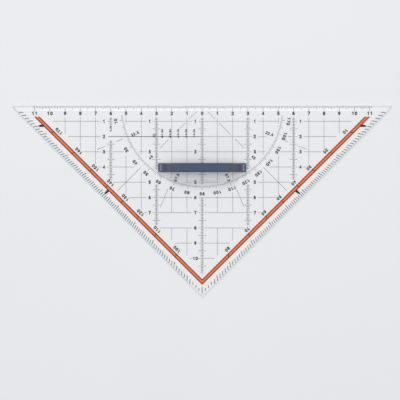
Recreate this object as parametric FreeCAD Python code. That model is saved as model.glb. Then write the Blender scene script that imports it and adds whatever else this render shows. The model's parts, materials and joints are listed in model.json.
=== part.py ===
"""Drafting triangle with a lift-off handle.

A clear right-angled isosceles plate lies on small pads. Its marks are thin films of ink on the
underside, and an arched handle stands on it, with two split pegs pressed into the plate.

Frame: X runs along the long edge, Y points from the right-angled corner towards the long edge, and
Z points up out of the paper. The origin is under the middle of the outline, on the paper.
Places on the plate are given as (across, depth): across from the zero mark in the middle of the
long edge, and depth from the long edge towards the right-angled corner. Lengths are millimetres.
"""
import FreeCAD
import Part

import math
import os

# Plate
long_edge = 250.0            # between the two sharp corners, before they are rounded
corner_radius = 0.5
plate_thickness = 2.0
facet_width = 3.2            # sloping face along the long edge
facet_drop = 0.8
broken_edge = 0.25           # chamfer on the top of the two short edges

# Pads that keep the ink and the ruling edges off the paper
pad_height = 0.3
pad_radius = 0.7

# Ink films
film = 0.03                  # thickness of one printing
film_gap = 0.01              # skin between one film and the next, and under the plate
ink_margin = 0.3             # bare edge outside the marks
fine_mark = 0.17             # width of the finest marks
fine_line = 0.18             # width of grid lines
scale_line = 0.22
heavy_line = 0.3
numeral_room = 2.0           # left bare each way from the middle of a numeral
shortest_line = 1.5          # a shorter piece of a grid line is left out

# Length scale along the long edge
centimetre = 10.0
millimetres_per_centimetre = 10
long_scale_end = 14.0        # bare length between the last mark and the corner
short_mark = 1.5
half_mark = 2.3
long_mark = 3.3

# Grid
grid_top = 7.5               # depth where the upright lines begin
grid_border = 12.0           # square distance from the short edges to the ends of the lines
bare_field_top = 70.0        # between the middle scales the upright lines are broken here
bare_field_bottom = 80.0

# Upright millimetre scales
scales_each_side = 2         # of the centre scale
scale_pitch = 30.0           # between neighbouring upright scales
scale_short_mark = 2.0       # full width of a mark, across the scale
scale_half_mark = 5.0
centre_scale_border = 10.1   # square distance from the short edges to the centre scale's end
numeral_offset = 4.5         # from a scale to the middle of its numerals

# Half-circle protractor round the zero mark
ring_radius = 52.4           # where its marks begin; they run outwards
ring_short_mark = 1.2
ring_half_mark = 1.9
ring_long_mark = 2.6
ring_first_degree = 7        # degrees between the long edge and the first mark
ring_clearance = 1.1         # between the marks and the ends of the grid lines inside the ring
ring_numeral_offset = 5.2    # from the beginning of the marks to the middle of the numerals

# Degree scales along the short edges, counted round the zero mark
leg_first_degree = 2
leg_short_mark = 2.4         # square to the short edge
leg_half_mark = 2.9
leg_long_mark = 3.4
apex_degrees = 3             # each way from the right angle, where the marks stop short of the edge
apex_margin = 1.1            # bare there between the edge and the marks
apex_mark = 4.4              # inner end of the mark that points into the right angle
band_dash_reach = 1.2        # how far a ten-degree dash reaches each way from the band's middle

# Coloured bands beside the short edges
band_inset = 6.7             # from the short edge to the band's middle
band_width = 2.75
band_top = 7.0               # depth where the bands begin

# Pointers for oblique drawing, from the bands out towards the degree marks
pointer_degrees = (7.0, 42.0)
pointer_width = 2.1          # of the base, along the band
pointer_tip = 0.7
pointer_length = 3.5
pointer_overlap = 0.4        # of a pointer's base over the band

# Sloping lines of the special angles: degrees from the long edge, then runs out from the zero mark
diagonal_degrees = 45.0
diagonal_runs = ((5.2, 11.8), (15.6, 26.4), (30.4, 39.0), (57.0, 78.6))
gauge_side_runs = ((5.2, 11.8), (15.8, 21.0), (31.2, 39.0), (57.0, 78.6))
flat_ray_degrees = 22.5
flat_ray_runs = ((56.2, 61.0), (69.0, 74.5))
steep_ray_degrees = 67.5
steep_ray_runs = ((59.2, 71.8),)
special_numeral_radius = 47.7
special_numeral_room = 2.6   # left bare round the middle of a special angle's numeral

# Line-width gauge, on the left half
gauge_depth = 20.0
gauge_overshoot = 1.5        # of the heavy line past the outer left scale
gauge_pitch = 5.25
gauge_widths = (0.35, 0.5, 0.7, 0.85, 1.0)
gauge_rise = 0.6             # of a mark above the heavy line
gauge_fall = 0.8             # of a mark below it
gauge_bars = 3               # thin bars that stand close together beyond the last mark
gauge_bar_pitch = 0.6
gauge_bar_rise = 1.8
gauge_clearing_top = 12.5    # the outer left scale is broken between these depths
gauge_clearing_bottom = 22.5

# Handle
handle_depth = 40.5          # from the long edge to the middle of the handle
handle_length = 57.8
handle_width = 6.0
handle_height = 12.0         # above the plate, at the middle
foot_length = 2.3            # flat tab at each end
foot_height = 1.6
foot_rounding = 0.5
shoulder_setback = 9.9       # from the end of the handle to the shoulder
shoulder_fall = 1.3          # of the top, from the middle to the shoulder
shoulder_rounding = 5.0
top_rounding = 1.3
handle_wall = 1.3
foot_slot_length = 0.7       # along the handle
foot_slot_width = 3.9
foot_slot_inset = 1.35       # rim left outside the slot
rib_thickness = 1.0
rib_reach = 8.0              # from the middle of the handle to a rib

# Pegs under the handle, and their holes in the plate
peg_setback = 6.9            # from the end of the handle
peg_radius = 1.95
peg_clearance = 0.05
peg_recess = 0.4             # from the peg's end up to the plate's underside
peg_split = 0.8
peg_chamfer = 0.3
boss_radius = 2.4

# Sizes that follow from those above
half_edge = long_edge / 2
diagonal = math.sqrt(2)
half_turn = 180
quarter_turn = 90
long_scale_reach = half_edge - long_scale_end
gauge_reach = scales_each_side * scale_pitch + gauge_overshoot
shoulder_reach = handle_length / 2 - shoulder_setback
peg_reach = handle_length / 2 - peg_setback
corner_loss = corner_radius * (diagonal - 1)
plate_depth = half_edge - corner_loss
long_edge_y = plate_depth / 2
underside = pad_height
top_face = underside + plate_thickness
millimetre = centimetre / millimetres_per_centimetre
overrun = plate_thickness    # how far cutting bodies run past what they cut

UP = FreeCAD.Vector(0, 0, 1)
ALONG = FreeCAD.Vector(1, 0, 0)
SQUARE = FreeCAD.Vector(0, 1, 0)

# Printings, from the plate downwards
UPRIGHT_FILM, LEVEL_FILM, SCALE_FILM, COLOUR_FILM, SLOPING_FILM = range(5)


def place(across, depth, height):
    """A point over the place (across, depth) of the plate."""
    return FreeCAD.Vector(across, long_edge_y - depth, height)


def film_top(printing):
    """Height of the upper face of one printing."""
    return underside - film_gap - printing * (film + film_gap)


def patch(corners, printing):
    """A flat patch of ink with the given corners."""
    points = [place(across, depth, film_top(printing)) for across, depth in corners]
    face = Part.Face(Part.makePolygon(points + points[:1]))
    return face.extrude(-film * UP)


def stroke(start, end, width, printing):
    """A straight line of ink from start to end."""
    run = (end[0] - start[0], end[1] - start[1])
    length = math.hypot(*run)
    side = (-run[1] / length * width / 2, run[0] / length * width / 2)
    corners = [
        (start[0] + side[0], start[1] + side[1]),
        (end[0] + side[0], end[1] + side[1]),
        (end[0] - side[0], end[1] - side[1]),
        (start[0] - side[0], start[1] - side[1]),
    ]
    return patch(corners, printing)


def polar(radius, degrees):
    """The place at a radius from the zero mark; degrees count from the long edge, on the right."""
    angle = math.radians(degrees)
    return radius * math.cos(angle), radius * math.sin(angle)


def ray(first_radius, last_radius, degrees, width, printing):
    """A line of ink on a ray from the zero mark."""
    return stroke(polar(first_radius, degrees), polar(last_radius, degrees), width, printing)


def radius_at_inset(inset, degrees):
    """Distance from the zero mark to a line parallel to the short edge and inset from it."""
    angle = math.radians(degrees)
    return (half_edge - inset * diagonal) / (abs(math.cos(angle)) + math.sin(angle))


def mark_length(count, short, half, long):
    """Every tenth mark of a scale is long and every fifth is half long."""
    if count % 10 == 0:
        return long
    if count % 5 == 0:
        return half
    return short


def depth_at_border(across, border):
    """Depth at which an upright line meets the border beside the short edges."""
    return half_edge - border * diagonal - abs(across)


def half_chord(radius, offset):
    """Half the chord that a circle cuts from a line at an offset from its middle."""
    return math.sqrt(max(0.0, radius**2 - offset**2))


def without(runs, gaps):
    """Runs of a line with the gaps taken out, and without the bits that are then too short."""
    for gap_start, gap_end in gaps:
        if gap_end > gap_start:
            before = [(start, min(end, gap_start)) for start, end in runs]
            after = [(max(start, gap_end), end) for start, end in runs]
            runs = [(start, end) for start, end in before + after if end > start]
    return [(start, end) for start, end in runs if end - start > shortest_line]


def ring_gaps(offset):
    """Stretches where a grid line at an offset from the zero mark would meet the ring."""
    inner = half_chord(ring_radius - ring_clearance, offset)
    outer = half_chord(ring_radius + ring_numeral_offset + numeral_room, offset)
    return [(-outer, -inner), (inner, outer)]


def gauge_gaps(across):
    """The stretch of the outer left scale that makes room for the line gauge."""
    if across == -scales_each_side * scale_pitch:
        return [(gauge_clearing_top, gauge_clearing_bottom)]
    return []


def scale_places():
    """The upright millimetre scales, from left to right."""
    return [step * scale_pitch for step in range(-scales_each_side, scales_each_side + 1)]


def rounded_outline(height):
    """The plate's outline as a face at a height: three straight edges joined by corner arcs."""
    corners = [
        place(-half_edge, 0, height),
        place(half_edge, 0, height),
        place(0, half_edge, height),
    ]
    edges = []
    ends = []
    for before, corner, after in zip(corners[-1:] + corners[:-1], corners, corners[1:] + corners[:1]):
        back = (before - corner).normalize()
        ahead = (after - corner).normalize()
        half_angle = back.getAngle(ahead) / 2
        setback = corner_radius / math.tan(half_angle)
        bisector = (back + ahead).normalize()
        middle = corner + bisector * (corner_radius / math.sin(half_angle) - corner_radius)
        ends.append((corner + back * setback, middle, corner + ahead * setback))
    for arc, following in zip(ends, ends[1:] + ends[:1]):
        edges.append(Part.Arc(*arc).toShape())
        edges.append(Part.makeLine(arc[2], following[0]))
    return Part.Face(Part.Wire(edges))


def long_facet():
    """The wedge removed from the plate's top along the long edge."""
    section = [
        place(-half_edge - overrun, facet_width, top_face),
        place(-half_edge - overrun, -overrun, top_face),
        place(-half_edge - overrun, -overrun, top_face - facet_drop),
        place(-half_edge - overrun, 0, top_face - facet_drop),
    ]
    face = Part.Face(Part.makePolygon(section + section[:1]))
    return face.extrude((long_edge + 2 * overrun) * ALONG)


def short_edges(plate):
    """The two straight top edges beside the right angle."""
    found = []
    for edge in plate.Edges:
        middle = edge.CenterOfMass
        run = edge.Vertexes[-1].Point - edge.Vertexes[0].Point
        on_top = abs(middle.z - top_face) < film_gap
        if on_top and abs(abs(run.x) - abs(run.y)) < film_gap and edge.Length > half_edge:
            found.append(edge)
    return found


def pad(across, depth):
    """A small round foot on the underside."""
    return Part.makeCylinder(pad_radius, pad_height, place(across, depth, 0), UP)


def pad_places():
    """Pads stand in bare spots between the numerals, and between two lines near the right angle."""
    half_cell = centimetre / 2
    outer = math.floor(long_scale_reach / centimetre) * centimetre - half_cell
    inner = scale_pitch + half_cell
    last_row = math.floor(depth_at_border(0, grid_border) / centimetre) * centimetre
    return [
        (side * across, depth)
        for side in (-1, 1)
        for across, depth in (
            (outer, half_cell),
            (inner, half_cell),
            (numeral_offset, last_row + half_cell),
        )
    ]


def make_plate():
    """Clear plate with its facet, broken edges, peg holes and pads."""
    plate = rounded_outline(underside).extrude(plate_thickness * UP)
    plate = plate.cut(long_facet())
    plate = plate.makeChamfer(broken_edge, short_edges(plate))
    for across in (-peg_reach, peg_reach):
        hole = Part.makeCylinder(
            peg_radius + peg_clearance,
            plate_thickness + 2 * overrun,
            place(across, handle_depth, underside - overrun),
            UP,
        )
        plate = plate.cut(hole)
    pads = [pad(across, depth) for across, depth in pad_places()]
    return plate.fuse(pads).removeSplitter()


def make_long_scale():
    """Millimetre marks along the long edge."""
    last = int(long_scale_reach / millimetre)
    marks = []
    for count in range(-last, last + 1):
        length = mark_length(count, short_mark, half_mark, long_mark)
        across = count * millimetre
        marks.append(stroke((across, ink_margin), (across, length), scale_line, UPRIGHT_FILM))
    return Part.makeCompound(marks)


def make_leg_scale(side):
    """Degree marks along one short edge, with the ten-degree dashes over the band."""
    marks = []
    last = quarter_turn - 1 if side > 0 else quarter_turn
    for count in range(leg_first_degree, last + 1):
        degrees = count if side > 0 else half_turn - count
        length = mark_length(count, leg_short_mark, leg_half_mark, leg_long_mark)
        if count == quarter_turn:
            length = apex_mark
        margin = apex_margin if quarter_turn - count <= apex_degrees else ink_margin
        outer = radius_at_inset(margin, degrees)
        inner = radius_at_inset(length, degrees)
        marks.append(ray(inner, outer, degrees, scale_line, UPRIGHT_FILM))
        if count % 10 == 0 and count < quarter_turn:
            dash_outer = radius_at_inset(band_inset - band_dash_reach, degrees)
            dash_inner = radius_at_inset(band_inset + band_dash_reach, degrees)
            marks.append(ray(dash_inner, dash_outer, degrees, heavy_line, UPRIGHT_FILM))
    return Part.makeCompound(marks)


def make_ring():
    """Degree marks of the half-circle protractor."""
    marks = []
    for degrees in range(ring_first_degree, half_turn - ring_first_degree + 1):
        length = mark_length(degrees, ring_short_mark, ring_half_mark, ring_long_mark)
        marks.append(ray(ring_radius, ring_radius + length, degrees, fine_mark, COLOUR_FILM))
    return Part.makeCompound(marks)


def make_upright_lines():
    """Grid lines that run down the plate, one for each centimetre."""
    lines = []
    last = int((half_edge - grid_border * diagonal - grid_top) / centimetre)
    for count in range(-last, last + 1):
        across = count * centimetre
        border = centre_scale_border if count == 0 else grid_border
        bottom = depth_at_border(across, border)
        gaps = ring_gaps(across) + gauge_gaps(across)
        if 0 < abs(across) < scale_pitch:
            gaps.append((bare_field_top, bare_field_bottom))
        for start, end in without([(grid_top, bottom)], gaps):
            lines.append(stroke((across, start), (across, end), fine_line, UPRIGHT_FILM))
    return Part.makeCompound(lines)


def numeral_side(across):
    """Numerals stand to the left of the left and centre scales and to the right of the others."""
    return 1 if across > 0 else -1


def level_gaps(depth):
    """Stretches of a level line that are left bare, as pairs of across values."""
    gaps = ring_gaps(depth)
    for across in scale_places():
        middle = across + numeral_side(across) * numeral_offset
        gaps.append((middle - numeral_room, middle + numeral_room))
    for right in (flat_ray_degrees, diagonal_degrees, steep_ray_degrees):
        for degrees in (right, half_turn - right):
            across, numeral_depth = polar(special_numeral_radius, degrees)
            reach = half_chord(special_numeral_room, depth - numeral_depth)
            gaps.append((across - reach, across + reach))
    if depth == gauge_depth:
        gaps.append((-gauge_reach, 0))
    return gaps


def make_level_lines():
    """Grid lines that run across the plate, broken round the numerals."""
    lines = []
    last = int(depth_at_border(0, grid_border) // centimetre)
    for count in range(1, last + 1):
        depth = count * centimetre
        reach = depth_at_border(0, grid_border) - depth
        for start, end in without([(-reach, reach)], level_gaps(depth)):
            lines.append(stroke((start, depth), (end, depth), fine_line, LEVEL_FILM))
    return Part.makeCompound(lines)


def make_upright_scale(across):
    """Millimetre marks across one upright grid line; level lines mark the whole centimetres."""
    border = centre_scale_border if across == 0 else grid_border
    first = math.ceil(grid_top / millimetre)
    last = int(depth_at_border(across, border) / millimetre)
    gaps = ring_gaps(across) + gauge_gaps(across)
    marks = []
    for count in range(first, last + 1):
        depth = count * millimetre
        in_gap = any(start < depth < end for start, end in gaps)
        if in_gap or count % millimetres_per_centimetre == 0:
            continue
        width = mark_length(count, scale_short_mark, scale_half_mark, scale_half_mark)
        start = (across - width / 2, depth)
        end = (across + width / 2, depth)
        marks.append(stroke(start, end, fine_mark, SCALE_FILM))
    return Part.makeCompound(marks)


def make_band(side):
    """Coloured band along one short edge, cut level at the top and mitred under the centre scale."""
    outer = half_edge - (band_inset - band_width / 2) * diagonal
    inner = half_edge - (band_inset + band_width / 2) * diagonal
    corners = [
        (side * (outer - band_top), band_top),
        (0, outer),
        (0, inner),
        (side * (inner - band_top), band_top),
    ]
    return patch(corners, COLOUR_FILM)


def make_pointers():
    """Blunt wedges that stand on the bands and point out to the degree marks."""
    wedges = []
    for right in pointer_degrees:
        for degrees in (right, half_turn - right):
            base = radius_at_inset(band_inset - band_width / 2 + pointer_overlap, degrees)
            ends = ((base, pointer_width / 2), (base + pointer_length, pointer_tip / 2))
            towards_middle = []
            towards_corner = []
            for radius, half_width in ends:
                across, depth = polar(radius, degrees)
                down = half_width / diagonal
                out = math.copysign(down, across)
                towards_middle.append((across - out, depth + down))
                towards_corner.append((across + out, depth - down))
            wedges.append(patch(towards_middle + towards_corner[::-1], SCALE_FILM))
    return Part.makeCompound(wedges)


def make_sloping_lines():
    """Broken lines of the special angles; the line gauge breaks one of them more."""
    lines = []
    for degrees, runs in (
        (diagonal_degrees, diagonal_runs),
        (half_turn - diagonal_degrees, gauge_side_runs),
        (flat_ray_degrees, flat_ray_runs),
        (half_turn - flat_ray_degrees, flat_ray_runs),
        (steep_ray_degrees, steep_ray_runs),
        (half_turn - steep_ray_degrees, steep_ray_runs),
    ):
        for inner, outer in runs:
            lines.append(ray(inner, outer, degrees, fine_line, SLOPING_FILM))
    return Part.makeCompound(lines)


def make_line_gauge():
    """Heavy level line crossed by marks of growing width, then by a few thin bars."""
    marks = [stroke((-gauge_reach, gauge_depth), (0, gauge_depth), heavy_line, LEVEL_FILM)]
    for count, width in enumerate(gauge_widths, start=1):
        across = -count * gauge_pitch
        start = (across, gauge_depth - gauge_rise)
        marks.append(stroke(start, (across, gauge_depth + gauge_fall), width, COLOUR_FILM))
    middle = -(len(gauge_widths) + 1) * gauge_pitch
    first = middle - (gauge_bars - 1) / 2 * gauge_bar_pitch
    for count in range(gauge_bars):
        across = first + count * gauge_bar_pitch
        start = (across, gauge_depth - gauge_bar_rise)
        marks.append(stroke(start, (across, gauge_depth + gauge_rise), heavy_line, COLOUR_FILM))
    return Part.makeCompound(marks)


def long_section(inset):
    """Face of the arched body, seen from the side and drawn in from its outer surface by inset."""
    heel = handle_length / 2 - foot_length
    shoulder_height = handle_height - shoulder_fall
    outline = [(-heel, 0), (-shoulder_reach, shoulder_height), (0, handle_height)]
    outline += [(shoulder_reach, shoulder_height), (heel, 0)]
    points = [FreeCAD.Vector(x, 0, z) for x, z in outline]
    edges = [
        Part.makeLine(points[0], points[1]),
        Part.Arc(points[1], points[2], points[3]).toShape(),
        Part.makeLine(points[3], points[4]),
        Part.makeLine(points[4], points[0]),
    ]
    wire = Part.Wire(edges)
    if inset:
        wire = wire.makeOffset2D(-inset)
    return Part.Face(wire)


def arched_body(inset):
    """The arched fin with its rounded shoulders, drawn in on every side by inset."""
    width = handle_width - 2 * inset
    body = long_section(inset).translated(-width / 2 * SQUARE).extrude(width * SQUARE)
    shoulders = [
        edge
        for edge in body.Edges
        if edge.BoundBox.YLength > width / 2 and edge.BoundBox.ZMin > handle_height / 2
    ]
    return body.makeFillet(shoulder_rounding - inset, shoulders)


def feet():
    """Low bar under the arch that ends in a slotted tab on each side."""
    corner = FreeCAD.Vector(-handle_length / 2, -handle_width / 2, 0)
    bar = Part.makeBox(handle_length, handle_width, foot_height, corner)
    upright = [edge for edge in bar.Edges if edge.BoundBox.ZLength > foot_height / 2]
    bar = bar.makeFillet(foot_rounding, upright)
    for side in (-1, 1):
        middle = side * (handle_length / 2 - foot_slot_inset - foot_slot_length / 2)
        corner = FreeCAD.Vector(middle - foot_slot_length / 2, -foot_slot_width / 2, -overrun)
        slot = Part.makeBox(foot_slot_length, foot_slot_width, foot_height + 2 * overrun, corner)
        bar = bar.cut(slot)
    return bar


def peg(across):
    """Split peg that presses into the plate, under a boss that fills the handle's hollow."""
    length = plate_thickness - peg_recess
    boss = Part.makeCylinder(boss_radius, handle_height, FreeCAD.Vector(across, 0, 0), UP)
    boss = boss.common(arched_body(handle_wall / 2))
    end = FreeCAD.Vector(across, 0, -length)
    pin = Part.makeCylinder(peg_radius, length + handle_wall, end, UP)
    rim = [edge for edge in pin.Edges if edge.BoundBox.ZMax < -length / 2]
    pin = pin.makeChamfer(peg_chamfer, rim)
    corner = FreeCAD.Vector(across - peg_split / 2, -boss_radius, -length - overrun)
    split = Part.makeBox(peg_split, 2 * boss_radius, length + overrun, corner)
    return boss.fuse(pin.cut(split))


def make_handle():
    """Arched handle, hollow underneath, with ribs, slotted feet and two split pegs."""
    body = arched_body(0)
    crown = [
        edge
        for edge in body.Edges
        if edge.BoundBox.YLength < top_rounding and edge.BoundBox.ZMax > foot_height
    ]
    body = body.makeFillet(top_rounding, crown)
    body = body.fuse(feet())
    hollow = arched_body(handle_wall)
    sink = FreeCAD.Vector(0, 0, -handle_wall)
    body = body.cut(hollow.translated(sink)).cut(hollow)
    for side in (-1, 1):
        corner = FreeCAD.Vector(side * rib_reach - rib_thickness / 2, -handle_width / 2, 0)
        rib = Part.makeBox(rib_thickness, handle_width, handle_height, corner)
        body = body.fuse(rib.common(arched_body(handle_wall / 2)))
        body = body.fuse(peg(side * peg_reach))
    return body.removeSplitter().translated(place(0, handle_depth, top_face))


def sub_parts():
    """Every node's name with its shape."""
    parts = {
        "plate": make_plate(),
        "handle": make_handle(),
        "long_edge_scale": make_long_scale(),
        "short_edge_scale_left": make_leg_scale(-1),
        "short_edge_scale_right": make_leg_scale(1),
        "band_left": make_band(-1),
        "band_right": make_band(1),
        "pointers": make_pointers(),
        "protractor_ring": make_ring(),
        "sloping_lines": make_sloping_lines(),
        "grid_upright": make_upright_lines(),
        "grid_level": make_level_lines(),
        "line_gauge": make_line_gauge(),
    }
    names = ("outer_left", "inner_left", "centre", "inner_right", "outer_right")
    for name, across in zip(names, scale_places()):
        parts["upright_scale_" + name] = make_upright_scale(across)
    return parts


os.makedirs("parts", exist_ok=True)
for node, shape in sub_parts().items():
    shape.exportStep("parts/" + node + ".step")
    print(node, "solids", len(shape.Solids), "volume", round(shape.Volume, 2), shape.isValid())
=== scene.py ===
"""Looks of a clear drafting triangle with printed scales and a lift-off handle.

Lengths are metres. Places on the plate are (across, depth): across from the zero mark in the
middle of the long edge, and depth from the long edge towards the right-angled corner.
"""

import json
import math

import bmesh
import bpy
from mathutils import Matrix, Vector


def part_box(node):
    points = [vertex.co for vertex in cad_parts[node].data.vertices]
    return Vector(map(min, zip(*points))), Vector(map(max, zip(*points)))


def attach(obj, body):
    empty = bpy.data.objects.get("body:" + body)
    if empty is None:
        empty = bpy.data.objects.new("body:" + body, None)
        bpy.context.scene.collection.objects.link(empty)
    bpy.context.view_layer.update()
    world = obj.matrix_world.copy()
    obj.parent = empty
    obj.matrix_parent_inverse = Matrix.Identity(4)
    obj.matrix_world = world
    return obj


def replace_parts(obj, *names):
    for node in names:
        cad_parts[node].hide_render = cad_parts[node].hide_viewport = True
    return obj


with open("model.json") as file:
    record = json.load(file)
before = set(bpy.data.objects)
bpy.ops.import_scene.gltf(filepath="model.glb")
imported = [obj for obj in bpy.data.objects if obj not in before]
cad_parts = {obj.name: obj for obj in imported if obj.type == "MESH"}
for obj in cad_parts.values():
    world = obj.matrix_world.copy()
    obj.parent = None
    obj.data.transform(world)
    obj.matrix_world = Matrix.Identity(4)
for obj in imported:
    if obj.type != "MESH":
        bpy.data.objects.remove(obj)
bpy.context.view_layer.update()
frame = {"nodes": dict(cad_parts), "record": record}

MM = 0.001
DIAGONAL = math.sqrt(2)

# Plate and print, as they are on the frame
plate_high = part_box("plate")[1]
LONG_EDGE_Y = plate_high[1]
TOP_FACE = plate_high[2]
HALF_EDGE = 125.0 * MM
UNDERSIDE = 0.3 * MM
CORNER_RADIUS = 0.5 * MM
FACET_WIDTH = 3.2 * MM
FACET_DROP = 0.8 * MM
BROKEN_EDGE = 0.25 * MM
CENTIMETRE = 10.0 * MM
SCALE_PITCH = 30.0 * MM
BAND_INSET = 6.7 * MM
BAND_WIDTH = 2.75 * MM
PRINT_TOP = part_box("grid_upright")[1][2]
FILM = 0.03 * MM

# Numerals: their shapes, heights and places
DIGIT_WIDTH_SHARE = 0.68      # of a digit's height
DIGIT_PITCH_SHARE = 0.84      # from one digit to the next, of its height
POINT_PITCH_SHARE = 0.5
PEN_SHARE = 0.22              # width of the pen, of a digit's height
POINT_PEN_SHARE = 1.2         # width of a decimal point, of the pen's
POINT_REACH_SHARE = 0.125     # each way from its middle, of the pen's width
SHARPEST_BEND = 0.5           # cosine of half the turn past which a mitre grows no more
LONG_SCALE_NUMERAL = 2.4 * MM
LONG_SCALE_NUMERAL_DEPTH = 4.8 * MM
LONG_SCALE_LAST = 11
UPRIGHT_NUMERAL = 2.25 * MM
UPRIGHT_NUMERAL_OFFSET = 4.5 * MM
RING_NUMERAL = 2.2 * MM
RING_NUMERAL_RADIUS = 57.6 * MM
SPECIAL_NUMERAL = 1.85 * MM
LEG_NUMERAL = 2.25 * MM
LEG_NUMERAL_INSET = 10.2 * MM
GAUGE_NUMERAL = 1.3 * MM
GAUGE_NUMERAL_DEPTH = 17.1 * MM
GAUGE_PITCH = 5.25 * MM
GAUGE_END_NUMERAL = (-60.1 * MM, 14.8 * MM)
GAUGE_END_TEXT = "0.30"
GAUGE_TEXTS = ("0.35", "0.50", "0.70", "0.85", "1.00")

# Special angles inside the ring, on the right half: text, degrees, across and depth
SPECIAL_PLACES = (
    ("22.5", 22.5, 44.1 * MM, 18.2 * MM),
    ("45", 45.0, 33.7 * MM, 33.7 * MM),
    ("67.5", 67.5, 16.7 * MM, 47.0 * MM),
)

# Degree marks along the short edges, as insets from the edge
DEGREE_MARK_WIDTH = 0.34 * MM
DEGREE_MARK_START = 0.45 * MM
DEGREE_MARK_ENDS = (2.3 * MM, 2.8 * MM, 3.3 * MM)  # single, five and ten degrees
FIRST_DEGREE = 2
APEX_DEGREES = 3              # each way from the right angle the marks stand back
APEX_MARK_START = 1.2 * MM
APEX_MARK_END = 4.3 * MM
DASH_WIDTH = 0.4 * MM         # ten-degree dashes over the bands
DASH_REACH = 1.15 * MM        # each way from the band's middle

# Pointers that stand on the bands: where, and their outline as (outwards, half width)
POINTER_DEGREES = (7.0, 42.0, 138.0, 173.0)
POINTER_ROOT = 0.3 * MM       # how far they reach into the band
POINTER_BASE_INSET = BAND_INSET - BAND_WIDTH / 2 + POINTER_ROOT
POINTER_OUTLINE = ((0.0, 0.85 * MM), (2.3 * MM, 0.65 * MM), (3.5 * MM, 0.25 * MM))

# Skin that carries the milled finish of the side walls
RIM_INSETS = (0.02 * MM, 0.04 * MM)  # of its two faces from the outline
RIM_MARGIN = 0.03 * MM        # from its borders to the wall's borders
WALL_SHARES = (0.02, 0.04, 0.5, 0.96, 0.98)  # along a short edge, close where its top bends

# Finishes
ACRYLIC_IOR = 1.49
ACRYLIC_ROUGHNESS = (0.0, 0.035)
LONG_RIM_SHADE_FADE = (0.9 * MM, 1.4 * MM)  # painted shade: the sheet is darker nearer to its edges
LONG_RIM_SHADE = (0.90, 0.91, 0.93)
# painted shade along the short edges, darker and narrower
SHORT_RIM_SHADE_FADE = (0.1 * MM, 0.35 * MM)
SHORT_RIM_SHADE = (0.71, 0.72, 0.75)
SCRATCH_WIDTH = 0.012         # of the distance between scratches
SCRATCH_BEND = 4.0 * MM       # how far they wander
SCRATCH_RELIEF = (0.04, 0.02 * MM)  # strength and height
GRAIN_RELIEF = (0.25, 0.03 * MM)
SMEAR_RANGE = (0.35, 0.75)    # from a faint smear to a strong one
NOISE_RANGE = (0.3, 0.7)      # where most values of a noise lie
MILLED_LINES = (60.0, 60.0, 9000.0)  # waves in a metre, across, along and up
MILLED_ROUGHNESS = (0.25, 0.5)
MILLED_CLEARNESS = 0.66       # share of the light that goes through
HANDLE_ROUGHNESS = (0.34, 0.5)
HANDLE_SHADING_FADE = (8.0 * MM, 27.0 * MM)  # painted shading across the handle, from its darker, bluer middle to its lighter, more violet ends

# Stripes of the bands: from full to gone, as insets from the band's border
# the dark red line along each border is painted shade of the band's sloping sides
BORDER_SHADE_FADE = (0.2 * MM, 0.1 * MM)
CORE_FADE = (0.85 * MM, 0.7 * MM)
SPINE_FADE = (1.1 * MM, 0.9 * MM)

# Photograph
IMAGE_SIDE = 400
PIXELS_PER_METRE = 1522.4
MIDDLE_PIXEL = (202.18, 201.08)  # where the origin stands in the picture
CAMERA_HEIGHT = 1.6
CAMERA_SIGHT = 20.0           # how far it sees
SENSOR = 36.0

# Light
WORLD_COLOUR = (1.0, 0.98, 1.03)
WORLD_STRENGTH = 0.41
WORLD_MIRRORED = 0.75         # what glossy surfaces mirror
PATCH_MIRRORED = 2.8          # and what a bright patch adds, which the sloping facet mirrors
PATCH_TILT = 28.0             # degrees from straight overhead towards the long edge
PATCH_ACROSS_FADE = (0.055, 0.085)  # from full to gone, as sines counted from its middle
PATCH_ALONG_FADE = (0.09, 0.16)
OVERHEAD_DISTANCE = 2.2
OVERHEAD_SIDE = 1.4
OVERHEAD_POWER = 21.4
KEY_HEIGHT = 53.0             # degrees above the floor, beyond the long edge
KEY_LEAN = -0.1               # and a little to the left
KEY_DISTANCE = 1.6
KEY_SIDE = 0.4
KEY_POWER = 6.4
KEY_COLOUR = (1.0, 1.02, 0.95)
FLOOR = -0.02 * MM            # a hair under the pads
FLOOR_REACH = 3.0


def place(across, depth, height=0.0):
    """The point over a place of the plate."""
    return Vector((across, LONG_EDGE_Y - depth, height))


def polar(radius, degrees):
    """The place at a radius from the zero mark; degrees count from the long edge, on the right."""
    angle = math.radians(degrees)
    return radius * math.cos(angle), radius * math.sin(angle)


# Digits: pen strokes in a box that is one wide and one high, centred on zero

def arc(middle_x, middle_y, radius_x, radius_y, first, last, steps=10):
    """Points on an ellipse from one angle to another, in degrees."""
    points = []
    for step in range(steps + 1):
        angle = math.radians(first + (last - first) * step / steps)
        x = middle_x + radius_x * math.cos(angle)
        y = middle_y + radius_y * math.sin(angle)
        points.append((x, y))
    return points


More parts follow.
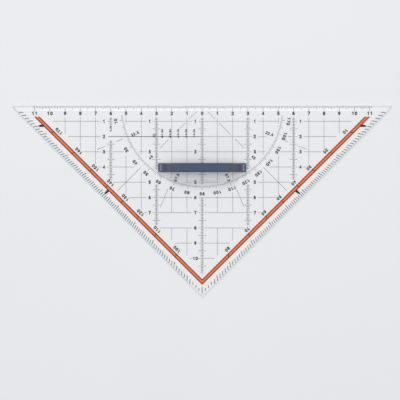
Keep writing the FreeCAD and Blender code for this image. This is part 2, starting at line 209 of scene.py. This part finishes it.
# Each sign is a list of strokes: the points, and whether the stroke closes on itself
STROKES = {
    "0": [(arc(0, 0, 0.5, 0.5, 0, 342, 19), True)],
    "1": [([(-0.3, 0.24), (0.12, 0.5), (0.12, -0.5)], False)],
    "2": [(arc(0, 0.22, 0.5, 0.28, 165, -32) + [(-0.5, -0.5), (0.5, -0.5)], False)],
    "3": [
        (arc(-0.02, 0.26, 0.46, 0.24, 155, -90, 10) + [(-0.14, 0.02)], False),
        ([(-0.14, 0.02)] + arc(-0.02, -0.24, 0.52, 0.26, 90, -155, 11), False),
    ],
    "4": [([(0.24, -0.5), (0.24, 0.5), (-0.5, -0.2), (0.5, -0.2)], False)],
    "5": [([(0.42, 0.5), (-0.36, 0.5)] + arc(-0.02, -0.18, 0.52, 0.32, 128, -145, 12), False)],
    "6": [(arc(0.46, -0.18, 0.96, 0.7, 103, 180, 6) + arc(0, -0.2, 0.5, 0.3, 198, 522, 18), False)],
    "7": [([(-0.5, 0.5), (0.5, 0.5), (-0.13, -0.5)], False)],
    "8": [
        (arc(0, 0.26, 0.42, 0.24, -90, 252, 18), True),
        (arc(0, -0.24, 0.5, 0.26, 90, 432, 19), True),
    ],
    "9": [(arc(-0.46, 0.18, 0.96, 0.7, -77, 0, 6) + arc(0, 0.2, 0.5, 0.3, 18, 342, 18), False)],
}


def sign_width(sign):
    """Room that a sign takes along the line, as a share of the height."""
    return POINT_PITCH_SHARE if sign == "." else DIGIT_PITCH_SHARE


def add_face(mesh, corners):
    """A face through corners, unless two of them are the same vertex."""
    if len(set(corners)) == len(corners):
        mesh.faces.new(corners)


def stroke_sides(points, width, closed):
    """Points on the left and right border of a pen stroke, mitred where it bends."""
    count = len(points)
    left, right = [], []
    for index, point in enumerate(points):
        incoming = outgoing = None
        if closed or index:
            incoming = (point - points[index - 1]).normalized()
        if closed or index < count - 1:
            outgoing = (points[(index + 1) % count] - point).normalized()
        incoming = incoming or outgoing
        outgoing = outgoing or incoming
        along = (incoming + outgoing).normalized()
        reach = width / 2 / max(SHARPEST_BEND, along.dot(incoming))
        side = Vector((-along.y, along.x)) * reach
        left.append(point + side)
        right.append(point - side)
    return left, right


def add_pair(mesh, point, top):
    """One vertex on the upper and one on the lower face of the ink film."""
    return mesh.verts.new((*point, top)), mesh.verts.new((*point, top - FILM))


def add_stroke(mesh, points, width, closed, top):
    """A flat pen stroke along points, with round ends, as a closed thin solid."""
    left, right = [
        [add_pair(mesh, point, top) for point in row]
        for row in stroke_sides(points, width, closed)
    ]
    count = len(points)
    for index in range(count if closed else count - 1):
        following = (index + 1) % count
        (a_top, a_low), (b_top, b_low) = left[index], left[following]
        (c_top, c_low), (d_top, d_low) = right[index], right[following]
        add_face(mesh, (c_top, d_top, b_top, a_top))
        add_face(mesh, (a_low, b_low, d_low, c_low))
        add_face(mesh, (a_top, b_top, b_low, a_low))
        add_face(mesh, (d_top, c_top, c_low, d_low))
    if closed:
        return
    first_end = (points[0], points[0] - points[1], right[0], left[0])
    last_end = (points[-1], points[-1] - points[-2], left[-1], right[-1])
    for middle, outward, start, end in (first_end, last_end):
        outward = outward.normalized() * width / 2
        side = Vector((-outward.y, outward.x))
        turns = (math.pi / 4, math.pi / 2, 3 * math.pi / 4)
        cap = [middle + outward * math.sin(turn) + side * math.cos(turn) for turn in turns]
        chain = [start] + [add_pair(mesh, point, top) for point in cap] + [end]
        add_face(mesh, [pair[0] for pair in reversed(chain)])
        add_face(mesh, [pair[1] for pair in chain])
        for one, other in zip(chain, chain[1:]):
            add_face(mesh, (one[0], other[0], other[1], one[1]))


def add_patch(mesh, corners, top):
    """A flat patch of ink between corners, as a closed thin solid."""
    pairs = [add_pair(mesh, corner, top) for corner in corners]
    add_face(mesh, [pair[0] for pair in pairs])
    add_face(mesh, [pair[1] for pair in reversed(pairs)])
    for one, other in zip(pairs, pairs[1:] + pairs[:1]):
        add_face(mesh, (one[0], one[1], other[1], other[0]))


def add_numeral(mesh, text, across, depth, height, turn, top):
    """Signs of a numeral, centred on a place and turned by turn radians."""
    pen = height * PEN_SHARE
    reach_x = height * DIGIT_WIDTH_SHARE - pen
    reach_y = height - pen
    middle = place(across, depth).to_2d()
    along = Vector((math.cos(turn), math.sin(turn)))
    upward = Vector((-math.sin(turn), math.cos(turn)))
    cursor = -sum(sign_width(sign) for sign in text) / 2
    for sign in text:
        centre = middle + along * (cursor + sign_width(sign) / 2) * height
        cursor += sign_width(sign)
        if sign == ".":
            spot = centre - upward * reach_y / 2
            reach = along * pen * POINT_REACH_SHARE
            add_stroke(mesh, [spot - reach, spot + reach], pen * POINT_PEN_SHARE, False, top)
            continue
        for stroke, closed in STROKES[sign]:
            points = [centre + along * x * reach_x + upward * y * reach_y for x, y in stroke]
            add_stroke(mesh, points, pen, closed, top)


def finish_piece(name, mesh, material):
    """A mesh as a piece of the plate."""
    bmesh.ops.recalc_face_normals(mesh, faces=mesh.faces[:])
    data = bpy.data.meshes.new(name)
    mesh.to_mesh(data)
    mesh.free()
    piece = bpy.data.objects.new(name, data)
    bpy.context.scene.collection.objects.link(piece)
    piece.data.materials.append(material)
    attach(piece, "plate")
    return piece


def numerals(name, entries, height, material):
    """One piece that holds a group of numerals: entries of (text, across, depth, turn)."""
    mesh = bmesh.new()
    for text, across, depth, turn in entries:
        add_numeral(mesh, text, across, depth, height, turn, PRINT_TOP)
    return finish_piece(name, mesh, material)


def polar_at_inset(inset, degrees):
    """The place on the ray at degrees, an inset away from the short edge."""
    angle = math.radians(degrees)
    radius = (HALF_EDGE - inset * DIAGONAL) / (abs(math.cos(angle)) + math.sin(angle))
    return polar(radius, degrees)


def point_at_inset(inset, degrees):
    """The flat point on the ray at degrees, an inset away from the short edge."""
    return place(*polar_at_inset(inset, degrees)).to_2d()


def degree_marks(side, node, material):
    """Printed degree marks of one short edge, and the ten-degree dashes over its band."""
    mesh = bmesh.new()
    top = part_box(node)[1][2]
    last = 89 if side > 0 else 90  # the mark at the right angle is drawn once
    for count in range(FIRST_DEGREE, last + 1):
        degrees = count if side > 0 else 180 - count
        start = APEX_MARK_START if 90 - count <= APEX_DEGREES else DEGREE_MARK_START
        end = DEGREE_MARK_ENDS[(count % 5 == 0) + (count % 10 == 0)]
        runs = [(start, APEX_MARK_END if count == 90 else end, DEGREE_MARK_WIDTH)]
        if count % 10 == 0 and count < 90:
            runs.append((BAND_INSET - DASH_REACH, BAND_INSET + DASH_REACH, DASH_WIDTH))
        for outer, inner, width in runs:
            ends = [point_at_inset(inset, degrees) for inset in (outer, inner)]
            add_stroke(mesh, ends, width, False, top)
    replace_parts(finish_piece(node + "_print", mesh, material), node)


def pointers(node, material):
    """Solid black pointers from the bands towards the degree marks, along their rays."""
    mesh = bmesh.new()
    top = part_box(node)[1][2]
    for degrees in POINTER_DEGREES:
        base = point_at_inset(POINTER_BASE_INSET, degrees)
        outward = Vector(polar(1.0, -degrees))
        side = Vector((-outward.y, outward.x))
        inward = Vector((-math.copysign(1, base.x), 1.0))
        lean = side.dot(inward) / outward.dot(inward)  # the base follows the band's border
        one, other = [], []
        for reach, half in POINTER_OUTLINE:
            slant = 0.0 if reach else lean * half
            one.append(base + outward * (reach - slant) + side * half)
            other.append(base + outward * (reach + slant) - side * half)
        add_patch(mesh, one + other[::-1], top)
    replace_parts(finish_piece(node + "_print", mesh, material), node)


def outward_turn(degrees):
    """Turn of a numeral whose top points away from the zero mark, on the ray at degrees."""
    return math.radians(-90 - degrees)


def long_scale_entries():
    """Centimetres on the long edge, counted both ways from zero."""
    return [
        (str(abs(count)), count * CENTIMETRE, LONG_SCALE_NUMERAL_DEPTH, 0.0)
        for count in range(-LONG_SCALE_LAST, LONG_SCALE_LAST + 1)
    ]


def upright_scale_entries():
    """Centimetres beside the upright scales; some are left out where other marks stand."""
    shown = {
        -2: (1, 2, 3, 4),
        -1: (1, 3, 5, 6, 7),
        0: (1, 3, 5, 6, 7, 8, 9, 10),
        1: (1, 2, 3, 5, 6, 7),
        2: (1, 2, 3, 4),
    }
    entries = []
    for scale, counts in shown.items():
        side = 1 if scale > 0 else -1
        across = scale * SCALE_PITCH + side * UPRIGHT_NUMERAL_OFFSET
        entries += [(str(count), across, count * CENTIMETRE, 0.0) for count in counts]
    return entries


def ring_entries():
    """Tens of degrees round the protractor, from 10 at the left to 170 at the right."""
    entries = []
    for reading in range(10, 180, 10):
        if reading == 20:
            continue  # the line gauge passes there
        degrees = 180 - reading
        across, depth = polar(RING_NUMERAL_RADIUS, degrees)
        entries.append((str(reading), across, depth, outward_turn(degrees)))
    return entries


def special_entries():
    """The special angles inside the ring, written along their rays."""
    entries = []
    for text, degrees, across, depth in SPECIAL_PLACES:
        entries.append((text, across, depth, math.radians(-degrees)))
        entries.append((text, -across, depth, math.radians(degrees)))
    return entries


def leg_entries():
    """Tens of degrees beside the bands, with their tops towards the short edges."""
    entries = []
    for degrees in range(10, 180, 10):
        if degrees == 90:
            continue  # the bands meet there
        across, depth = polar_at_inset(LEG_NUMERAL_INSET, degrees)
        turn = math.radians(-135 if across > 0 else 135)
        entries.append((str(degrees), across, depth, turn))
    return entries


def gauge_entries():
    """Line widths in millimetres beside the marks of the gauge, written upwards."""
    entries = [
        (text, -count * GAUGE_PITCH, GAUGE_NUMERAL_DEPTH, math.pi / 2)
        for count, text in enumerate(GAUGE_TEXTS, start=1)
    ]
    entries.append((GAUGE_END_TEXT, *GAUGE_END_NUMERAL, math.pi / 2))
    return entries


# Materials

def new_material(name):
    """A material with a Principled shader wired to its output."""
    material = bpy.data.materials.new(name)
    material.use_nodes = True
    nodes = material.node_tree.nodes
    return material, nodes, material.node_tree.links, nodes["Principled BSDF"]


def new_group(name, inputs, outputs):
    """A node group with named float inputs and outputs, and its entry and result nodes."""
    group = bpy.data.node_groups.new(name, "ShaderNodeTree")
    for socket in inputs:
        group.interface.new_socket(socket, in_out="INPUT", socket_type="NodeSocketFloat")
    for socket in outputs:
        group.interface.new_socket(socket, in_out="OUTPUT", socket_type="NodeSocketFloat")
    nodes = group.nodes
    return group, nodes, group.links, nodes.new("NodeGroupInput"), nodes.new("NodeGroupOutput")


def add_node(nodes, kind, **settings):
    """A node with its settings; those that name an input set its default."""
    node = nodes.new(kind)
    for key, value in settings.items():
        if hasattr(node, key):
            setattr(node, key, value)
        else:
            node.inputs[key.replace("_", " ")].default_value = value
    return node


def add_math(nodes, links, operation, first, second=None):
    """The result of a sum on sockets or plain numbers."""
    node = add_node(nodes, "ShaderNodeMath", operation=operation)
    for index, value in enumerate((first, second)):
        if isinstance(value, bpy.types.NodeSocket):
            links.new(value, node.inputs[index])
        elif value is not None:
            node.inputs[index].default_value = value
    return node.outputs[0]


def add_range(nodes, links, value, first, last, low, high):
    """A node that turns a value between first and last into one between low and high."""
    node = nodes.new("ShaderNodeMapRange")
    for name, number in zip(("From Min", "From Max", "To Min", "To Max"), (first, last, low, high)):
        node.inputs[name].default_value = number
    links.new(value, node.inputs["Value"])
    return node


def fade(nodes, links, value, start, end, smooth=True):
    """A mask that is one at start and nought at end."""
    node = add_range(nodes, links, value, start, end, 1.0, 0.0)
    if smooth:
        node.interpolation_type = "SMOOTHSTEP"
    return node.outputs["Result"]


def inset_group():
    """How far a point lies from the long edge, the nearer short edge and the middle line."""
    outputs = ("From Long Edge", "From Short Edge", "Across")
    group, nodes, links, _, result = new_group("Plate Insets", (), outputs)
    coords = nodes.new("ShaderNodeTexCoord")
    parts = nodes.new("ShaderNodeSeparateXYZ")
    links.new(coords.outputs["Object"], parts.inputs[0])
    depth = add_math(nodes, links, "SUBTRACT", LONG_EDGE_Y, parts.outputs["Y"])
    across = add_math(nodes, links, "ABSOLUTE", parts.outputs["X"])
    beyond = add_math(nodes, links, "ADD", depth, across)
    level_inset = add_math(nodes, links, "SUBTRACT", HALF_EDGE, beyond)
    inset = add_math(nodes, links, "MULTIPLY", level_inset, 1 / DIAGONAL)
    for name, socket in zip(outputs, (depth, inset, across)):
        links.new(socket, result.inputs[name])
    return group


def ink_group():
    """Uneven printing: a mask that is one where the ink is full and less where it is thin."""
    group, nodes, links, entry, result = new_group(
        "Ink Density", ("Scale", "Unevenness"), ("Density",)
    )
    coords = nodes.new("ShaderNodeTexCoord")
    noise = add_node(nodes, "ShaderNodeTexNoise", Detail=4.0, Roughness=0.6)
    links.new(coords.outputs["Object"], noise.inputs["Vector"])
    links.new(entry.outputs["Scale"], noise.inputs["Scale"])
    thin = add_math(nodes, links, "MULTIPLY", noise.outputs["Fac"], entry.outputs["Unevenness"])
    full = add_math(nodes, links, "SUBTRACT", 1.0, thin)
    links.new(full, result.inputs["Density"])
    return group


def wear_group():
    """Handling marks: fine scratches and faint smears as two masks."""
    group, nodes, links, entry, result = new_group(
        "Handling Wear", ("Scratch Scale", "Smear Scale"), ("Scratches", "Smears")
    )
    coords = nodes.new("ShaderNodeTexCoord")
    smear = add_node(nodes, "ShaderNodeTexNoise", Detail=3.0, Roughness=0.5)
    wander = add_node(nodes, "ShaderNodeTexNoise", Detail=2.0, Scale=60.0)
    bend = add_node(nodes, "ShaderNodeVectorMath", operation="MULTIPLY_ADD")
    bend.inputs[1].default_value = (SCRATCH_BEND,) * 3
    cells = add_node(nodes, "ShaderNodeTexVoronoi", feature="DISTANCE_TO_EDGE")
    links.new(coords.outputs["Object"], smear.inputs["Vector"])
    links.new(entry.outputs["Smear Scale"], smear.inputs["Scale"])
    links.new(coords.outputs["Object"], wander.inputs["Vector"])
    links.new(wander.outputs["Color"], bend.inputs[0])
    links.new(coords.outputs["Object"], bend.inputs[2])
    links.new(bend.outputs[0], cells.inputs["Vector"])
    links.new(entry.outputs["Scratch Scale"], cells.inputs["Scale"])
    scratches = fade(nodes, links, cells.outputs["Distance"], 0.0, SCRATCH_WIDTH, False)
    links.new(scratches, result.inputs["Scratches"])
    links.new(smear.outputs["Fac"], result.inputs["Smears"])
    return group


PLATE_INSETS = inset_group()
INK_DENSITY = ink_group()
HANDLING_WEAR = wear_group()


def place_group(nodes, group, **values):
    """A node group in a material, with its inputs set."""
    node = nodes.new("ShaderNodeGroup")
    node.node_tree = group
    for key, value in values.items():
        node.inputs[key.replace("_", " ")].default_value = value
    return node


def mixed_colour(nodes, links, factor, first, second):
    """Colour between first and second by the factor socket; either may be a socket too."""
    mix = nodes.new("ShaderNodeMix")
    mix.data_type = "RGBA"
    for name, colour in (("A", first), ("B", second)):
        if isinstance(colour, bpy.types.NodeSocket):
            links.new(colour, mix.inputs[name])
        else:
            mix.inputs[name].default_value = (*colour, 1.0)
    links.new(factor, mix.inputs["Factor"])
    return mix.outputs["Result"]


def vary_roughness(nodes, links, shader, mask, mask_range, rough_range):
    """A shader's roughness that goes through its range as the mask goes through its own."""
    rough = add_range(nodes, links, mask, *mask_range, *rough_range)
    links.new(rough.outputs["Result"], shader.inputs["Roughness"])


def add_relief(nodes, links, shader, height, strength, distance):
    """Fine relief on a shader, as high as distance where the height mask is one."""
    bump = add_node(nodes, "ShaderNodeBump", Strength=strength, Distance=distance)
    links.new(height, bump.inputs["Height"])
    links.new(bump.outputs["Normal"], shader.inputs["Normal"])


def let_light_through(material, share):
    """A share of the light passes straight through the material instead of casting its shadow."""
    nodes, links = material.node_tree.nodes, material.node_tree.links
    rays = nodes.new("ShaderNodeLightPath")
    clear = nodes.new("ShaderNodeBsdfTransparent")
    clear.inputs["Color"].default_value = (share, share, share, 1.0)
    choose = nodes.new("ShaderNodeMixShader")
    links.new(rays.outputs["Is Shadow Ray"], choose.inputs[0])
    links.new(nodes["Principled BSDF"].outputs[0], choose.inputs[1])
    links.new(clear.outputs[0], choose.inputs[2])
    links.new(choose.outputs[0], nodes["Material Output"].inputs["Surface"])


def clear_acrylic():
    """Polished clear sheet, with painted shade along its rim, that lets the light through to the
    paper.
    """
    material, nodes, links, shader = new_material("clear_acrylic")
    shader.inputs["Transmission Weight"].default_value = 1.0
    shader.inputs["IOR"].default_value = ACRYLIC_IOR
    shader.inputs["Specular IOR Level"].default_value = 0.25
    insets = place_group(nodes, PLATE_INSETS)
    # Painted shade: the sheet's colour darkens near its long and short edges.
    long_rim_shade = fade(nodes, links, insets.outputs["From Long Edge"], *LONG_RIM_SHADE_FADE)
    short_rim_shade = fade(nodes, links, insets.outputs["From Short Edge"], *SHORT_RIM_SHADE_FADE)
    colour = mixed_colour(nodes, links, long_rim_shade, (1.0, 1.0, 1.0), LONG_RIM_SHADE)
    colour = mixed_colour(nodes, links, short_rim_shade, colour, SHORT_RIM_SHADE)
    links.new(colour, shader.inputs["Base Color"])
    wear = place_group(nodes, HANDLING_WEAR, Scratch_Scale=55.0, Smear_Scale=45.0)
    vary_roughness(nodes, links, shader, wear.outputs["Smears"], SMEAR_RANGE, ACRYLIC_ROUGHNESS)
    add_relief(nodes, links, shader, wear.outputs["Scratches"], *SCRATCH_RELIEF)
    let_light_through(material, 1.0)
    return material


def milled_rim():
    """Pale satin of the milled side walls, with fine level tool lines."""
    material, nodes, links, shader = new_material("milled_rim")
    coords = nodes.new("ShaderNodeTexCoord")
    stretch = add_node(nodes, "ShaderNodeVectorMath", operation="MULTIPLY")
    stretch.inputs[1].default_value = MILLED_LINES
    links.new(coords.outputs["Object"], stretch.inputs[0])
    lines = add_node(nodes, "ShaderNodeTexNoise", Scale=1.0, Detail=3.0, Roughness=0.6)
    links.new(stretch.outputs[0], lines.inputs["Vector"])
    dull, bright = (0.50, 0.56, 0.58), (0.72, 0.77, 0.79)
    colour = mixed_colour(nodes, links, lines.outputs["Fac"], dull, bright)
    links.new(colour, shader.inputs["Base Color"])
    vary_roughness(nodes, links, shader, lines.outputs["Fac"], NOISE_RANGE, MILLED_ROUGHNESS)
    let_light_through(material, MILLED_CLEARNESS)
    return material


def printing_ink(name, full, thin):
    """Matt printing in a colour that is a little thin in places."""
    material, nodes, links, shader = new_material(name)
    shader.inputs["Roughness"].default_value = 0.55
    shader.inputs["Specular IOR Level"].default_value = 0.05
    density = place_group(nodes, INK_DENSITY, Scale=900.0, Unevenness=0.5)
    colour = mixed_colour(nodes, links, density.outputs["Density"], thin, full)
    links.new(colour, shader.inputs["Base Color"])
    return material


def orange_lacquer():
    """Bright orange stripe, with a dark red line of painted shade and a thin pale rim along both
    borders.
    """
    material, nodes, links, shader = new_material("orange_lacquer")
    shader.inputs["Roughness"].default_value = 0.4
    shader.inputs["Specular IOR Level"].default_value = 0.1
    insets = place_group(nodes, PLATE_INSETS)
    offset = add_math(nodes, links, "SUBTRACT", insets.outputs["From Short Edge"], BAND_INSET)
    away = add_math(nodes, links, "ABSOLUTE", offset)
    spine, core, border_shade = [
        fade(nodes, links, away, BAND_WIDTH / 2 - full, BAND_WIDTH / 2 - gone)
        for full, gone in (SPINE_FADE, CORE_FADE, BORDER_SHADE_FADE)
    ]
    middle = mixed_colour(nodes, links, spine, (0.62, 0.12, 0.035), (0.86, 0.235, 0.085))
    # Painted shade: dark red along both borders, where the band's sides slope.
    border = mixed_colour(nodes, links, border_shade, (0.90, 0.36, 0.19), (0.235, 0.028, 0.007))
    stripe = mixed_colour(nodes, links, core, border, middle)
    density = place_group(nodes, INK_DENSITY, Scale=260.0, Unevenness=0.35)
    tint = nodes.new("ShaderNodeMix")
    tint.data_type = "RGBA"
    tint.blend_type = "MULTIPLY"
    tint.inputs["Factor"].default_value = 0.35
    links.new(stripe, tint.inputs["A"])
    links.new(density.outputs["Density"], tint.inputs["B"])
    links.new(tint.outputs["Result"], shader.inputs["Base Color"])
    return material


def slate_plastic():
    """Satin moulded plastic, slate blue, with a fine moulded grain, faint smears and painted
    shading from its middle to its ends.
    """
    material, nodes, links, shader = new_material("slate_plastic")
    wear = place_group(nodes, HANDLING_WEAR, Smear_Scale=140.0)
    insets = place_group(nodes, PLATE_INSETS)
    coords = nodes.new("ShaderNodeTexCoord")
    grain = add_node(nodes, "ShaderNodeTexNoise", Scale=2600.0, Detail=3.0, Roughness=0.6)
    links.new(coords.outputs["Object"], grain.inputs["Vector"])
    # Painted shading: a darker, bluer middle and lighter, more violet ends.
    middle = fade(nodes, links, insets.outputs["Across"], *HANDLE_SHADING_FADE)
    smears = wear.outputs["Smears"]
    centre = mixed_colour(nodes, links, smears, (0.037, 0.058, 0.104), (0.057, 0.085, 0.142))
    ends = mixed_colour(nodes, links, smears, (0.062, 0.074, 0.122), (0.086, 0.102, 0.160))
    colour = mixed_colour(nodes, links, middle, ends, centre)
    links.new(colour, shader.inputs["Base Color"])
    vary_roughness(nodes, links, shader, smears, NOISE_RANGE, HANDLE_ROUGHNESS)
    add_relief(nodes, links, shader, grain.outputs["Fac"], *GRAIN_RELIEF)
    return material


def paper_floor():
    """Pale grey board under the triangle."""
    material, nodes, links, shader = new_material("pale_board")
    shader.inputs["Roughness"].default_value = 0.9
    shader.inputs["Specular IOR Level"].default_value = 0.1
    coords = nodes.new("ShaderNodeTexCoord")
    cloud = add_node(nodes, "ShaderNodeTexNoise", Scale=9.0, Detail=2.0)
    links.new(coords.outputs["Object"], cloud.inputs["Vector"])
    darker, lighter = (0.802, 0.815, 0.834), (0.827, 0.838, 0.854)
    colour = mixed_colour(nodes, links, cloud.outputs["Fac"], darker, lighter)
    links.new(colour, shader.inputs["Base Color"])
    return material


# Pieces

def outline_places(inset, corner_steps=6):
    """Places along the plate's outline, drawn in by inset, with rounded corners."""
    corners = (  # across, depth, where the corner's middle line points, and half its angle
        (-HALF_EDGE, 0.0, 22.5, 22.5),
        (HALF_EDGE, 0.0, 157.5, 22.5),
        (0.0, HALF_EDGE, 270.0, 45.0),
    )
    places = []
    for across, depth, facing, half_angle in corners:
        distance = CORNER_RADIUS / math.sin(math.radians(half_angle))
        centre_x = across + distance * math.cos(math.radians(facing))
        centre_y = depth + distance * math.sin(math.radians(facing))
        sweep = 90 - half_angle
        for step in range(corner_steps + 1):
            turn = math.radians(facing + 180 - sweep + 2 * sweep * step / corner_steps)
            reach = CORNER_RADIUS - inset
            places.append((centre_x + reach * math.cos(turn), centre_y + reach * math.sin(turn)))
    return places


def wall_top(depth):
    """Height of the side wall's upper end at a depth."""
    facet = TOP_FACE - FACET_DROP * max(0.0, 1 - depth / FACET_WIDTH)
    return min(facet, TOP_FACE - BROKEN_EDGE)


def rim_finish(material):
    """Skin just inside the plate's side walls that carries their milled finish."""
    mesh = bmesh.new()
    outer, inner = [outline_places(inset) for inset in RIM_INSETS]
    corners = [(*one, *other) for one, other in zip(outer, inner)]
    walls = []
    for start, end in zip(corners, corners[1:] + corners[:1]):
        walls.append(start)
        if abs(end[1] - start[1]) > FACET_WIDTH:  # a short edge, where the facet ends
            for share in WALL_SHARES:
                walls.append(tuple(a + (b - a) * share for a, b in zip(start, end)))
    low = UNDERSIDE + RIM_MARGIN
    rings = []
    for outer_across, outer_depth, inner_across, inner_depth in walls:
        top = wall_top(outer_depth) - RIM_MARGIN
        around = (
            place(outer_across, outer_depth, low),
            place(outer_across, outer_depth, top),
            place(inner_across, inner_depth, top),
            place(inner_across, inner_depth, low),
        )
        rings.append([mesh.verts.new(point) for point in around])
    for one, other in zip(rings, rings[1:] + rings[:1]):
        for index in range(4):
            following = (index + 1) % 4
            add_face(mesh, (one[index], one[following], other[following], other[index]))
    return finish_piece("rim_finish", mesh, material)


ACRYLIC = clear_acrylic()
MILLED = milled_rim()
BLACK = printing_ink("black_ink", (0.005, 0.005, 0.006), (0.04, 0.04, 0.044))
FINE_BLACK = printing_ink("fine_line_ink", (0.14, 0.14, 0.145), (0.30, 0.30, 0.31))
ORANGE = orange_lacquer()
SLATE = slate_plastic()

FINISHES = {
    "clear_acrylic": ACRYLIC,
    "black_ink": BLACK,
    "orange_ink": ORANGE,
    "slate_plastic": SLATE,
}
for part in frame["record"]["subparts"]:
    node = frame["nodes"][part["node"]]
    for socket in node.material_slots:
        socket.material = FINISHES[part["material_slot"]]
for name in ("grid_upright", "grid_level"):
    for socket in frame["nodes"][name].material_slots:
        socket.material = FINE_BLACK
plate = frame["nodes"]["plate"]
plate.visible_diffuse = False       # its shadow rays already let the light through
plate.visible_transmission = False  # and light that has entered isn't trapped in the thin sheet

degree_marks(-1, "short_edge_scale_left", BLACK)
degree_marks(1, "short_edge_scale_right", BLACK)
pointers("pointers", BLACK)
numerals("numerals_long_edge", long_scale_entries(), LONG_SCALE_NUMERAL, BLACK)
numerals("numerals_upright_scales", upright_scale_entries(), UPRIGHT_NUMERAL, BLACK)
numerals("numerals_ring", ring_entries(), RING_NUMERAL, BLACK)
numerals("numerals_special_angles", special_entries(), SPECIAL_NUMERAL, BLACK)
numerals("numerals_short_edges", leg_entries(), LEG_NUMERAL, BLACK)
numerals("numerals_gauge", gauge_entries(), GAUGE_NUMERAL, BLACK)
rim_finish(MILLED)


# Stage

def add_floor():
    """Wide pale floor under the triangle."""
    data = bpy.data.meshes.new("floor")
    sides = ((-1, -1), (1, -1), (1, 1), (-1, 1))
    corners = [(x * FLOOR_REACH, y * FLOOR_REACH, FLOOR) for x, y in sides]
    data.from_pydata(corners, [], [(0, 1, 2, 3)])
    floor = bpy.data.objects.new("floor", data)
    bpy.context.scene.collection.objects.link(floor)
    floor.data.materials.append(paper_floor())


def add_softbox(name, direction, distance, side, power):
    """A flat square lamp that points at the origin; glossy and clear surfaces don't show it."""
    lamp = bpy.data.lights.new(name, "AREA")
    lamp.shape = "SQUARE"
    lamp.size = side
    lamp.energy = power
    holder = bpy.data.objects.new(name, lamp)
    holder.location = Vector(direction).normalized() * distance
    holder.rotation_euler = (-holder.location).to_track_quat("-Z", "Y").to_euler()
    holder.visible_glossy = False
    holder.visible_transmission = False
    bpy.context.scene.collection.objects.link(holder)
    return lamp


def add_lamps():
    """A large lamp straight overhead, and a smaller one beyond the long edge."""
    overhead = (0.0, 0.0, 1.0)
    add_softbox("overhead_softbox", overhead, OVERHEAD_DISTANCE, OVERHEAD_SIDE, OVERHEAD_POWER)
    angle = math.radians(KEY_HEIGHT)
    direction = (KEY_LEAN, math.cos(angle), math.sin(angle))
    key = add_softbox("key_softbox", direction, KEY_DISTANCE, KEY_SIDE, KEY_POWER)
    key.color = KEY_COLOUR


def add_world():
    """Even pale surroundings; glossy surfaces also mirror a soft bright patch."""
    world = bpy.data.worlds.new("studio")
    world.use_nodes = True
    bpy.context.scene.world = world
    nodes, links = world.node_tree.nodes, world.node_tree.links
    background = nodes["Background"]
    background.inputs["Color"].default_value = (*WORLD_COLOUR, 1.0)
    rays = nodes.new("ShaderNodeLightPath")
    coords = nodes.new("ShaderNodeTexCoord")
    parts = nodes.new("ShaderNodeSeparateXYZ")
    links.new(coords.outputs["Generated"], parts.inputs[0])
    across = add_math(nodes, links, "ABSOLUTE", parts.outputs["X"])
    middle = math.sin(math.radians(PATCH_TILT))
    offset = add_math(nodes, links, "SUBTRACT", parts.outputs["Y"], middle)
    along = add_math(nodes, links, "ABSOLUTE", offset)
    wide = fade(nodes, links, across, *PATCH_ACROSS_FADE)
    tall = fade(nodes, links, along, *PATCH_ALONG_FADE)
    patch = add_math(nodes, links, "MULTIPLY", wide, tall)
    bright = add_math(nodes, links, "MULTIPLY", patch, PATCH_MIRRORED)
    mirrored = add_math(nodes, links, "ADD", bright, WORLD_MIRRORED)
    strength = add_node(nodes, "ShaderNodeMapRange", To_Min=WORLD_STRENGTH)
    links.new(mirrored, strength.inputs["To Max"])
    links.new(rays.outputs["Is Glossy Ray"], strength.inputs["Value"])
    links.new(strength.outputs["Result"], background.inputs["Strength"])


def add_camera():
    """Camera straight above, framed as the photograph."""
    data = bpy.data.cameras.new("camera")
    camera = bpy.data.objects.new("camera", data)
    bpy.context.scene.collection.objects.link(camera)
    bpy.context.scene.camera = camera
    view_width = IMAGE_SIDE / PIXELS_PER_METRE
    data.sensor_width = SENSOR
    data.lens = SENSOR * CAMERA_HEIGHT / view_width
    data.clip_end = CAMERA_SIGHT
    half_image = IMAGE_SIDE / 2
    camera.location = (
        (half_image - MIDDLE_PIXEL[0]) / PIXELS_PER_METRE,
        (MIDDLE_PIXEL[1] - half_image) / PIXELS_PER_METRE,
        CAMERA_HEIGHT,
    )


add_floor()
add_world()
add_lamps()
add_camera()

bpy.context.scene.view_settings.view_transform = "Standard"
